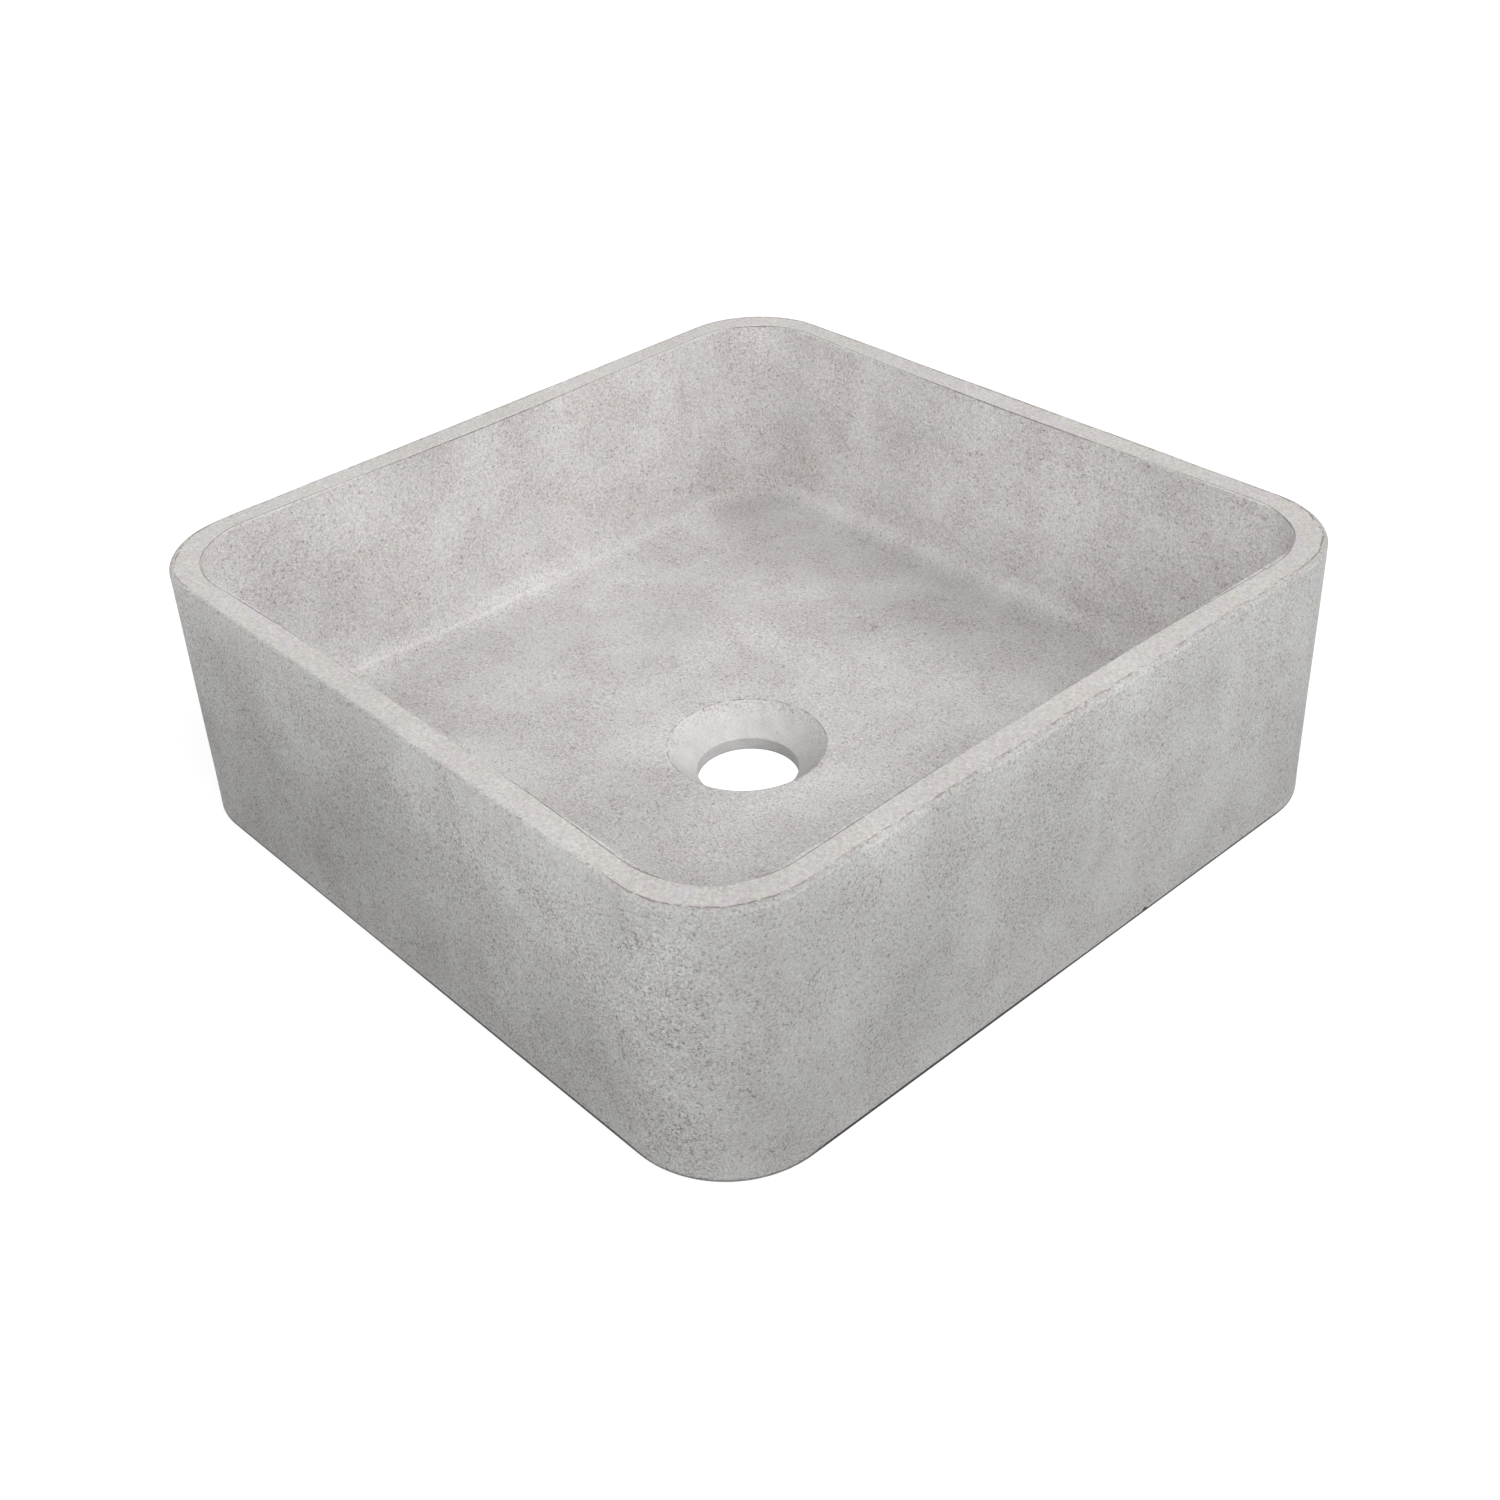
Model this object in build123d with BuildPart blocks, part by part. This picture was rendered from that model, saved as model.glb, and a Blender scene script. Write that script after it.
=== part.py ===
"""Countertop basin in cast concrete, standing on four rubber pads.

The casting is a square bowl with rounded corners and one even wall. Its floor runs up into the
walls in a deep fillet, and falls from there to a countersunk waste hole in the middle.

Sizes are in millimetres. The origin is on the countertop, under the middle of the waste hole,
with +Z up and the front of the basin towards -Y.
"""

from build123d import *
import math
import os

# Outside of the casting
basin_width = 360.0
basin_depth = 360.0
casting_height = 120.0
outer_corner_radius = 43.0
wall_thickness = 13.0

# Edges of the casting: the rim is rubbed down by hand, and the underside is ground flat
rim_outer_rounding = 2.2
rim_inner_rounding = 1.0
base_edge_rounding = 1.5

# Floor of the bowl: the fillet at the foot of the walls, a level strip inside it, and the fall
floor_fillet = 14.0
level_strip_width = 2.0
floor_fall = 3.0

# Waste hole: a level landing, the countersink that the waste's flange sits in, and the bore
landing_width = 3.0
countersink_diameter = 70.0
countersink_depth = 13.0
waste_bore_diameter = 45.0
waste_bore_length = 6.0

# Rubber pads, each let into a round pocket in the underside
pad_diameter = 22.0
pad_thickness = 3.0
pad_stand = 0.5
pad_edge_chamfer = 0.6
pad_side_clearance = 0.5
pad_inset = 48.0

# How far a cut runs past the surface that it goes through
cut_overrun = 5.0

# The floor fillet never takes up more than this share of the corner that it runs round
fillet_limit_share = 0.8

# Heights above the countertop
underside_height = pad_stand
rim_height = underside_height + casting_height
landing_height = underside_height + waste_bore_length + countersink_depth
wall_foot_height = landing_height + floor_fall

# The bowl seen from above
bowl_width = basin_width - 2 * wall_thickness
bowl_depth = basin_depth - 2 * wall_thickness
bowl_corner_radius = outer_corner_radius - wall_thickness
fillet_radius = min(floor_fillet, fillet_limit_share * (bowl_corner_radius - level_strip_width))

# The floor that falls: the outline where the fall starts, and the landing where it ends
fall_margin = fillet_radius + level_strip_width
fall_width = bowl_width - 2 * fall_margin
fall_depth = bowl_depth - 2 * fall_margin
fall_corner_radius = bowl_corner_radius - fall_margin
countersink_radius = countersink_diameter / 2
waste_bore_radius = waste_bore_diameter / 2
landing_radius = countersink_radius + landing_width
countersink_slope = math.atan2(countersink_radius - waste_bore_radius, countersink_depth)

# The pads and their pockets
pad_radius = pad_diameter / 2
pocket_radius = pad_radius + pad_side_clearance
pocket_depth = pad_thickness - pad_stand
pad_x = basin_width / 2 - pad_inset
pad_y = basin_depth / 2 - pad_inset
pad_places = {
    "pad_front_left": (-pad_x, -pad_y),
    "pad_front_right": (pad_x, -pad_y),
    "pad_back_left": (-pad_x, pad_y),
    "pad_back_right": (pad_x, pad_y),
}


# The casting
with BuildPart() as basin_body:
    # The outer block, from the ground underside up to the rim
    with BuildSketch(Plane.XY.offset(underside_height)):
        RectangleRounded(basin_width, basin_depth, outer_corner_radius)
    extrude(amount=casting_height)

    # The bowl, cut down from the rim to the foot of its walls
    with BuildSketch(Plane.XY.offset(rim_height)):
        RectangleRounded(bowl_width, bowl_depth, bowl_corner_radius)
    extrude(amount=wall_foot_height - rim_height, mode=Mode.SUBTRACT)

    # The fillet where the walls meet the floor
    level_faces = basin_body.faces().filter_by(Axis.Z).sort_by(Axis.Z)
    wall_foot = level_faces[1].edges()
    fillet(wall_foot, radius=fillet_radius)

    # The fall of the floor, from a rounded square near the walls to the round landing
    with BuildSketch(Plane.XY.offset(wall_foot_height)):
        RectangleRounded(fall_width, fall_depth, fall_corner_radius)
    with BuildSketch(Plane.XY.offset(landing_height)):
        Circle(landing_radius)
    loft(mode=Mode.SUBTRACT)

    # The countersunk waste hole
    with Locations((0, 0, landing_height)):
        CounterSinkHole(
            radius=waste_bore_radius,
            counter_sink_radius=countersink_radius,
            depth=landing_height + cut_overrun,
            counter_sink_angle=2 * math.degrees(countersink_slope),
        )

    # The rim's two edges and the edge of the underside
    rim_face = basin_body.faces().filter_by(Axis.Z).sort_by(Axis.Z)[-1]
    fillet(rim_face.outer_wire().edges(), radius=rim_outer_rounding)
    rim_face = basin_body.faces().filter_by(Axis.Z).sort_by(Axis.Z)[-1]
    fillet(rim_face.inner_wires()[0].edges(), radius=rim_inner_rounding)
    underside = basin_body.faces().filter_by(Axis.Z).sort_by(Axis.Z)[0]
    fillet(underside.outer_wire().edges(), radius=base_edge_rounding)

    # The pockets for the pads
    with BuildSketch(Plane.XY.offset(underside_height)):
        with Locations(*pad_places.values()):
            Circle(pocket_radius)
    extrude(amount=pocket_depth, mode=Mode.SUBTRACT)


def make_pad(place):
    """A rubber disc from the countertop up to the ceiling of its pocket, its foot's edge bevelled."""
    with BuildPart() as pad:
        with BuildSketch(Plane.XY):
            with Locations(place):
                Circle(pad_radius)
        extrude(amount=pad_thickness)
        foot = pad.faces().sort_by(Axis.Z)[0]
        chamfer(foot.edges(), length=pad_edge_chamfer)
    return pad.part


# One STEP file for each piece
os.makedirs("parts", exist_ok=True)
basin_body.part.label = "basin_body"
export_step(basin_body.part, "parts/basin_body.step")

for name, place in pad_places.items():
    pad = make_pad(place)
    pad.label = name
    export_step(pad, f"parts/{name}.step")

print(f"casting {basin_body.part.volume / 1e6:.3f} litres of concrete, rim at {rim_height:.1f} mm")
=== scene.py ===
# %% [markdown]
# # A countertop basin in cast concrete
#
# The real basin is one casting in fine, light grey concrete: a square bowl with rounded corners, an even
# wall, and a floor that falls to a countersunk waste hole. A imported CAD model already says how large it is
# and where everything sits. This lesson dresses that model: it gives the casting a finer surface with a
# hand-rubbed rim and a slightly uneven skin, and then the look of concrete.
#
# The first cell loads the CAD model as a fixed frame. It is in metres, with +Z up and the front of the basin
# towards -Y, and its box is kept, to be printed at the end.

import bpy
import numpy as np
from mathutils import Matrix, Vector
from mathutils.geometry import delaunay_2d_cdt


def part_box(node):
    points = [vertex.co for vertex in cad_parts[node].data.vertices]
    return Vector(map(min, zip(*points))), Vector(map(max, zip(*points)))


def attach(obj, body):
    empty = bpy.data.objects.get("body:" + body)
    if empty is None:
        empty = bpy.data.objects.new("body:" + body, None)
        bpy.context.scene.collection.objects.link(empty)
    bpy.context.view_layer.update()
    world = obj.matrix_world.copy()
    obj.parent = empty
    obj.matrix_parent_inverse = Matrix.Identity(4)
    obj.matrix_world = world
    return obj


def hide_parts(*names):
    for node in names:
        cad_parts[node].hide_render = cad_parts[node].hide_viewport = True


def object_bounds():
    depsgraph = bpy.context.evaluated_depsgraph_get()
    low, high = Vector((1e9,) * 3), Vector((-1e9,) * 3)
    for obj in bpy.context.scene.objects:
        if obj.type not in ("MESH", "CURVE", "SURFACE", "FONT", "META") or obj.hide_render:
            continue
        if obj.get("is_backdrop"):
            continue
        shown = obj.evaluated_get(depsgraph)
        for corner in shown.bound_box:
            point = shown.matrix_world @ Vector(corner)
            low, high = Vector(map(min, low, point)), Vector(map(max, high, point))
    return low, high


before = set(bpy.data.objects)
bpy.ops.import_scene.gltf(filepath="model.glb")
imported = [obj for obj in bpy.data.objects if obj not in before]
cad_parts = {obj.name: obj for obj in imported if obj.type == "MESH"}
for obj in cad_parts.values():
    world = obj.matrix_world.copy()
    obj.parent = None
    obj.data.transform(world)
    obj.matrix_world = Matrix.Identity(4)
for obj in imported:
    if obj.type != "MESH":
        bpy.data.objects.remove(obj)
cad_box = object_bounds()
print("CAD nodes:", sorted(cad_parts))

# %% [markdown]
# ## Sizes
#
# Sizes are written in millimetres, as on a drawing, and turned into metres by one factor. The outside and
# the height are read off the CAD casting, so the finer surface can't drift away from it. The others repeat
# the CAD's own sizes, apart from four small edges, which are crisper here, as the photo shows them. `hub` is
# worth a note: the corners of the outside, the rim and the bowl are arcs around the same four points, and
# `hub` is how far these points are from the middle along X and along Y.

# %% Name the sizes
MM = 0.001

low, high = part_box("basin_body")
half_width = high.x
underside = low.z
rim_top = high.z

casting_corner = 43 * MM
wall = 13 * MM
hub = half_width - casting_corner
bowl_half = half_width - wall
bowl_corner = casting_corner - wall

bore_radius = 22.5 * MM
bore_length = 6 * MM
countersink_radius = 35 * MM
countersink_depth = 13 * MM
landing_radius = countersink_radius + 3 * MM
bore_top = underside + bore_length
landing = bore_top + countersink_depth
floor_fall = 3 * MM
wall_foot = landing + floor_fall

fillet_radius = 14 * MM
level_strip = 2 * MM
fall_half = bowl_half - fillet_radius - level_strip
fall_corner = bowl_corner - fillet_radius - level_strip

# The small edges: two rounds, at the rim's inner edge and at the foot, and two broken ones at the hole
rim_inner_radius = 0.4 * MM
base_radius = 0.7 * MM
bore_arris = 0.4 * MM
countersink_arris = 0.5 * MM

pocket_radius = 11.5 * MM
pocket_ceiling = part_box("pad_front_left")[1].z
pad_inset = 48 * MM
pad_place = half_width - pad_inset

print(f"outside {2 * half_width / MM:.0f} mm square, rim {rim_top / MM:.1f} mm above the worktop")

# %% [markdown]
# ## One outline for every height
#
# Seen from above, each level of the basin is a rounded square, and the waste hole is a circle, which is a
# rounded square whose corners have eaten its sides. So one formula serves for all of it. It gives how far
# the outline reaches in a given direction from the middle. The same directions are used at every level, so
# the outlines join up into a clean grid, and the floor can turn from square to round without a twist.

# %% The rounded square
def reach(half, corner, turn):
    """How far a rounded square reaches from its middle in each direction.

    The direction is first folded into an eighth of a turn, from the middle of a side to the corner. There
    the straight side is met at half / cos. Past its end the corner's arc is met: with c the distance of the
    arc's centre from the middle along X and along Y, that is at
    c (cos + sin) + square root of (corner squared - c squared (cos - sin) squared).
    """
    fold = np.abs((turn + np.pi / 4) % (np.pi / 2) - np.pi / 4)
    c = half - corner
    on_side = half / np.cos(fold)
    under_root = corner**2 - (c * (np.cos(fold) - np.sin(fold))) ** 2
    on_arc = c * (np.cos(fold) + np.sin(fold)) + np.sqrt(np.maximum(under_root, 0))
    return np.where(half * np.tan(fold) <= c, on_side, on_arc)


# The directions crowd together towards the four corners, where the outline bends
around = 472
even = np.arange(around) * 2 * np.pi / around
turns = even + 0.13 * np.sin(4 * even)

outer = reach(half_width, half_width - hub, turns)
print(f"the outside reaches {outer.min() / MM:.0f} mm at a side and {outer.max() / MM:.1f} mm at a corner")

# %% [markdown]
# ## Slow variation by hand
#
# A casting comes out of its mould true, and is then rubbed down by hand, so nothing on it is quite even.
# Random numbers for each vertex would give sharp noise. A sum of waves gives something smooth that goes on
# for ever and doesn't repeat: each wave has its own random direction, and a length near the one we ask for.
# The random numbers have a fixed seed, so the basin is the same each time.

# %% A sum of waves
def waves(points, length, seed, count=24):
    """A smooth, uneven field from about -1 to 1 at each point.

    It is the sum of cosines of (direction . point x 2 pi / wavelength + phase), over `count` waves with
    random directions in space and wavelengths from 0.7 to 1.4 of `length`, divided by the root of the count.
    """
    rng = np.random.default_rng(seed)
    direction = rng.normal(size=(3, count))
    direction /= np.linalg.norm(direction, axis=0)
    wavelength = length * rng.uniform(0.7, 1.4, count)
    phase = rng.uniform(0, 2 * np.pi, count)
    angle = points @ (direction * 2 * np.pi / wavelength) + phase
    return np.cos(angle).sum(-1) / np.sqrt(count)


def ease(x, start, end):
    """0 before start, 1 after end, and an even S-curve in between."""
    t = np.clip((x - start) / (end - start), 0, 1)
    return t * t * (3 - 2 * t)


edge_points = np.stack([outer * np.cos(turns), outer * np.sin(turns), np.full(around, rim_top)], -1)

# %% [markdown]
# ## The rim's outer edge
#
# The edge is a round of about two millimetres. Along the front it was rubbed a little more, and the rim runs
# into the wall with no line between them. On the other three sides and at the corners the line is crisp.
# Along its length the round swells and shrinks a little, as a sanding block leaves it. So its radius is
# worked out for each direction.

# %% How soft the edge is, by direction
edge_x, edge_y = edge_points[:, 0], edge_points[:, 1]
along_front = ease(-edge_y, half_width - 8 * MM, half_width - 1 * MM)
soft_edge = along_front * ease(edge_x, -165 * MM, -115 * MM) * (1 - ease(edge_x, 105 * MM, 140 * MM))
wander = waves(edge_points, 34 * MM, seed=3)
rim_outer_radius = (2.1 + 0.4 * soft_edge + 0.15 * wander) * MM
print(f"edge radius from {rim_outer_radius.min() / MM:.1f} to {rim_outer_radius.max() / MM:.1f} mm")

# %% [markdown]
# ## The profile
#
# Cut the basin from its middle to its outside, and the cut edge is the profile: up the bore, out along the
# cone of the countersink, over the landing, up the falling floor, round the fillet, up the inner wall, over
# the rim and down the outside. It is made of straight runs and quarter rounds. Each returns three things
# for every direction: the half-width of the outline, its corner radius, and its height. A run is denser at
# its ends, which keeps the shading crisp beside the small rounds.

# %% Runs and rounds
def run(start, end, count):
    """A straight stretch between two (half-width, corner radius, height) triples, denser at both ends.

    The share of the way is (1 - cos(pi t)) / 2 for t from 0 to 1, without its last point."""
    t = (np.arange(count) / count)[:, None]
    share = (1 - np.cos(np.pi * t)) / 2
    return [(1 - share) * a + share * b + np.zeros(around) for a, b in zip(start, end)]


def quarter(centre_half, centre_height, radius, outward, upward, count, corner_gap=None):
    """A quarter round about a centre, without its last point.

    Half-width is centre + radius x outward and height is centre + radius x upward, where outward and upward
    are the sine or cosine of an angle that goes from 0 to 90 degrees. The corner radius is what is left of
    the half-width outside the hub, or outside corner_gap: with a gap of 0 the outlines are circles."""
    angle = (np.arange(count) / count)[:, None] * np.pi / 2
    half = centre_half + radius * outward(angle) + np.zeros(around)
    height = centre_height + radius * upward(angle) + np.zeros(around)
    return [half, half - (hub if corner_gap is None else corner_gap), height]


def minus(wave):
    """The sine or cosine with its sign turned round."""
    return lambda angle: -wave(angle)


# %% [markdown]
# ## Carry the profile round
#
# Now the whole profile is laid out, from the foot of the bore to the underside. Most sizes come straight
# from the drawing. The top edge of the countersink is broken by two short chamfers, one on the landing and
# one on the cone, because a sharp edge in concrete never stays sharp. Each outline is then met in every
# direction, which gives a grid of points: one row for each outline, one column for each direction.

# %% Lay out the outlines
top_of_wall = rim_top - rim_outer_radius
cone_run = countersink_radius - bore_radius
cone_rise = landing - bore_top
cone_length = np.hypot(cone_run, cone_rise)
cone_in, cone_up = cone_run / cone_length, cone_rise / cone_length

lip_out = countersink_radius + countersink_arris
lip_in = countersink_radius - countersink_arris * cone_in
lip_in_height = landing - countersink_arris * cone_up
lip_mid = countersink_radius + 0.1 * countersink_arris
lip_mid_height = landing - 0.22 * countersink_arris

bore_foot = bore_radius + bore_arris
rim_inner = bowl_half + rim_inner_radius
profile = [
    quarter(bore_foot, underside + bore_arris, bore_arris, minus(np.sin), minus(np.cos), 3, corner_gap=0),
    run([bore_radius] * 2 + [underside + bore_arris], [bore_radius] * 2 + [bore_top], 7),
    run([bore_radius] * 2 + [bore_top], [lip_in] * 2 + [lip_in_height], 15),
    run([lip_in] * 2 + [lip_in_height], [lip_mid] * 2 + [lip_mid_height], 1),
    run([lip_mid] * 2 + [lip_mid_height], [lip_out] * 2 + [landing], 1),
    run([lip_out] * 2 + [landing], [landing_radius] * 2 + [landing], 2),
    run([landing_radius] * 2 + [landing], [fall_half, fall_corner, wall_foot], 40),
    run([fall_half, fall_corner, wall_foot],
        [bowl_half - fillet_radius, bowl_corner - fillet_radius, wall_foot], 1),
    quarter(bowl_half - fillet_radius, wall_foot + fillet_radius, fillet_radius, np.sin, minus(np.cos), 22),
    run([bowl_half, bowl_half - hub, wall_foot + fillet_radius],
        [bowl_half, bowl_half - hub, rim_top - rim_inner_radius], 36),
    quarter(rim_inner, rim_top - rim_inner_radius, rim_inner_radius, minus(np.cos), np.sin, 4),
    run([rim_inner, rim_inner - hub, rim_top],
        [half_width - rim_outer_radius, half_width - rim_outer_radius - hub, rim_top], 8),
    quarter(half_width - rim_outer_radius, top_of_wall, rim_outer_radius, np.sin, np.cos, 8),
    run([half_width, half_width - hub, top_of_wall],
        [half_width, half_width - hub, underside + base_radius], 46),
    quarter(half_width - base_radius, underside + base_radius, base_radius, np.cos, minus(np.sin), 4),
    run([half_width - base_radius, half_width - base_radius - hub, underside],
        [half_width - base_radius, half_width - base_radius - hub, underside], 1),
]
half, corner, height = (np.concatenate([part[i] for part in profile]) for i in range(3))
reached = reach(half, corner, turns)
skin = np.stack([reached * np.cos(turns), reached * np.sin(turns), height], -1)
print(f"{len(skin)} outlines of {around} points")

# %% [markdown]
# ## Distance over the rim
#
# Several marks run at an even distance from the rim's edge: the rim's rubbed strip, the thin dark line of
# painted shade at its inner edge, the painted highlight low on the bowl's wall, and the painted contact
# shadow at the foot. To paint them where they are, the surface carries a measure of its own: how far a point
# is from the outer edge of the rim, walking over the rim and down into the bowl. Down the outside the number
# is negative.

# %% Measure along the profile
# The row that each part of the profile starts with, and the parts that are needed, counted from 0
first_row = np.cumsum([0] + [len(part[0]) for part in profile])
fillet_part, inner_round, outer_round = 8, 10, 12

strides = np.linalg.norm(np.diff(skin, axis=0), axis=-1)
from_bore = np.concatenate([np.zeros((1, around)), np.cumsum(strides, axis=0)])
inward = from_bore[first_row[outer_round] + 4] - from_bore

# The middle of the rim's inner round, a row just above the middle of the fillet, and the middle of the
# round at the foot
inner_edge = float(np.median(inward[first_row[inner_round] + 2]))
crest_line = float(np.median(inward[first_row[fillet_part] + 12]))
foot_edge = float(np.median(inward[-3]))
for name, place in (("inner edge", inner_edge), ("light line", crest_line), ("foot", foot_edge)):
    print(f"{name} at {place / MM:.1f} mm")

# %% [markdown]
# ## The uneven skin
#
# The skin of the casting isn't a perfect plane. It has long, shallow swells from the mould and a short
# ripple from rubbing down. Both are pushed into the concrete only, never out of it, so the finer surface
# stays inside the CAD model's box. Near the foot and round the bore the push fades out, so that the
# underside stays flat.

# %% Push the skin in
across = np.roll(skin, -1, axis=1) - np.roll(skin, 1, axis=1)
up_profile = np.gradient(skin, axis=0)
normal = np.cross(up_profile, across)
normal /= np.maximum(np.linalg.norm(normal, axis=-1, keepdims=True), 1e-12)

swell = 0.5 + 0.5 * np.clip(waves(skin, 62 * MM, seed=11) / 2, -1, 1)
ripple = 0.5 + 0.5 * np.clip(waves(skin, 13 * MM, seed=12) / 2, -1, 1)
rubbing = 0.5 + 0.5 * np.clip(waves(skin, 6.5 * MM, seed=13) / 2, -1, 1)
depth = (0.20 * swell + 0.045 * ripple + 0.02 * rubbing) * MM
depth *= ease(height, underside + 1.6 * MM, underside + 9 * MM)
skin -= depth[..., None] * normal
print(f"pushed in by up to {depth.max() / MM:.2f} mm")

# %% [markdown]
# ## The underside and its pockets
#
# The underside is ground flat and has four round pockets for rubber pads. It is a flat shape with five
# holes, and a grid doesn't suit that. Blender can fill such a shape with triangles whose edges keep to the
# given outlines, called a constrained Delaunay triangulation. It also fills the holes, but a triangle in a
# hole is easy to tell: its three corners are all on that hole's outline. Those are dropped.

# %% Fill the underside
pocket_points = 48
pocket_turns = np.arange(pocket_points) * 2 * np.pi / pocket_points
pocket_centres = np.array([[x, y] for x in (-pad_place, pad_place) for y in (-pad_place, pad_place)])
pocket_ring = pocket_radius * np.stack([np.cos(pocket_turns), np.sin(pocket_turns)], -1)
pocket_loops = pocket_centres[:, None] + pocket_ring[None]

outer_loop, bore_loop = skin[-1, :, :2], skin[0, :, :2]
flat = np.concatenate([outer_loop, bore_loop, pocket_loops.reshape(-1, 2)])


def loop_edges(first, count):
    """The edges of one closed outline, from each point to the next and from the last back to the first."""
    index = np.arange(count)
    return np.stack([first + index, first + (index + 1) % count], -1)


sides = [loop_edges(0, around), loop_edges(around, around)]
sides += [loop_edges(2 * around + k * pocket_points, pocket_points) for k in range(4)]
filled = delaunay_2d_cdt(flat.tolist(), np.concatenate(sides).tolist(), [], 0, 1e-9)
underside_faces = np.array(filled[2])
assert len(filled[0]) == len(flat), "the outlines of the underside touch each other"

outline = np.repeat([0, 1, 2, 3, 4, 5], [around, around] + 4 * [pocket_points])[underside_faces]
in_one_hole = (outline == outline[:, :1]).all(-1) & (outline[:, 0] > 0)
underside_faces = underside_faces[~in_one_hole]
print(f"{len(underside_faces)} triangles in the underside")

# %% [markdown]
# ## Put the casting together
#
# All parts share one list of points. The grid's squares run up the profile and then round, which turns
# their faces outwards, away from the concrete. The underside's first and last outlines are the grid's own
# first and last rows, so nothing is left open. Each pocket gets a wall, and a ceiling that closes in one
# middle point. The cell ends with two measures that show a mistake at once: the number of open edges, which
# has to be 0, and the volume, which has to be positive and close to the CAD's.

# %% Join the points and faces
row_count = len(skin)
index = np.arange(row_count * around).reshape(row_count, around)
right = np.roll(index, -1, axis=1)
grid_faces = np.stack([index[:-1], index[1:], right[1:], right[:-1]], -1).reshape(-1, 4)

first_pocket = row_count * around
pocket_size = 2 * pocket_points + 1
first_of = first_pocket + pocket_size * np.arange(4)
foot_ring = first_of[:, None] + np.arange(pocket_points)
ceiling_ring = foot_ring + pocket_points
ceiling_middle = np.repeat(first_of[:, None] + 2 * pocket_points, pocket_points, axis=1)
next_foot, next_ceiling = np.roll(foot_ring, -1, axis=1), np.roll(ceiling_ring, -1, axis=1)
pocket_walls = np.stack([foot_ring, ceiling_ring, next_ceiling, next_foot], -1).reshape(-1, 4)
ceilings = np.stack([ceiling_ring, ceiling_middle, next_ceiling], -1).reshape(-1, 3)

where = np.concatenate([index[-1], index[0], foot_ring.ravel()])
underside_faces = where[underside_faces][:, ::-1]

pockets = np.zeros((4, pocket_size, 3))
pockets[:, :pocket_points, :2] = pocket_loops
pockets[:, pocket_points:-1, :2] = pocket_loops
pockets[:, -1, :2] = pocket_centres
pockets[:, :pocket_points, 2] = underside
pockets[:, pocket_points:, 2] = pocket_ceiling
points = np.concatenate([skin.reshape(-1, 3), pockets.reshape(-1, 3)])


def closed_volume(points, faces):
    """The volume inside a closed surface: a sixth of the sum of a . (b x c) over its triangles a, b, c."""
    triangles = np.concatenate([faces[:, [0, k, k + 1]] for k in range(1, faces.shape[1] - 1)])
    a, b, c = points[triangles].transpose(1, 0, 2)
    return (a * np.cross(b, c)).sum() / 6


kinds = [grid_faces, pocket_walls, ceilings, underside_faces]
volume = sum(closed_volume(points, kind) for kind in kinds)
pairs = np.concatenate([np.stack([kind, np.roll(kind, -1, axis=1)], -1).reshape(-1, 2) for kind in kinds])
used = np.unique(np.sort(pairs, axis=1), axis=0, return_counts=True)[1]
print(f"{(used != 2).sum()} open edges, {volume * 1000:.3f} litres of concrete")

# %% [markdown]
# ## Hand it to Blender
#
# The points and faces become a mesh, and the mesh an object. Everything curved is shaded smooth, while the
# ground underside stays flat. The object then rides on the frame's only body and takes the place of the CAD
# casting. Its concrete is added further down.

# %% Make the casting's mesh
casting_mesh = bpy.data.meshes.new("basin_casting")
casting_mesh.from_pydata(points.tolist(), [], [face for kind in kinds for face in kind.tolist()])
smooth = np.ones(len(casting_mesh.polygons), bool)
smooth[-len(underside_faces):] = False
casting_mesh.polygons.foreach_set("use_smooth", smooth)
casting_mesh.update()

casting = bpy.data.objects.new("basin_casting", casting_mesh)
bpy.context.scene.collection.objects.link(casting)
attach(casting, "root")
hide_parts("basin_body")
print(f"{sum(len(p.vertices) - 2 for p in casting_mesh.polygons)} triangles")

# %% [markdown]
# ## What the surface knows about itself
#
# The finish changes from place to place. The outer walls keep the mould's cooler skin and get painted shade
# towards the foot, the rim was rubbed pale, its edge is crisp or soft, and a painted highlight runs along the
# fillet, strong along the left wall and faint elsewhere. Painted shade also darkens the round of the rim's
# outer edge, the floor beside the left and far walls, and the fillet. A table of soft patches adds larger
# dark and pale areas: some are stains that a real basin gets while it dries, the others painted shade and
# painted light. Each is a bump with no edge, exp(-(distance / radius) squared). All of these are stored on
# the mesh as a number for each point, called an attribute, and the material reads it. Unlike a picture
# wrapped round the basin, that needs no seams.

# %% Store the measures as attributes
def store(name, values):
    """Keeps one number for each point of the casting. The pockets' points, at the end, get the last value."""
    column = np.full(len(points), values[-1, 0], np.float32)
    column[:first_pocket] = values.ravel()
    casting_mesh.attributes.new(name, "FLOAT", "POINT").data.foreach_set("value", column)


x, y, z = skin.transpose(2, 0, 1)
from_axis = np.hypot(x, y)
store("inward", inward)
store("from_axis", from_axis)
store("crisp_edge", np.broadcast_to(1 - soft_edge, inward.shape))

above_foot = ease(height, underside + 0.4 * MM, underside + 1.2 * MM)
in_cone = 1 - ease(from_axis, bore_radius + 5 * MM, countersink_radius + 1 * MM)
store("countersunk", above_foot * in_cone)

outside = ease(-inward, (-1.9 - 0.8 * soft_edge) * MM, (-1.2 + 0.5 * soft_edge) * MM)
front_wall = outside * ease(-y, half_width - 16 * MM, half_width - 1 * MM)
store("outside", outside)
store("front_wall", front_wall * ease(-inward, 2 * MM, 28 * MM))
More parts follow.
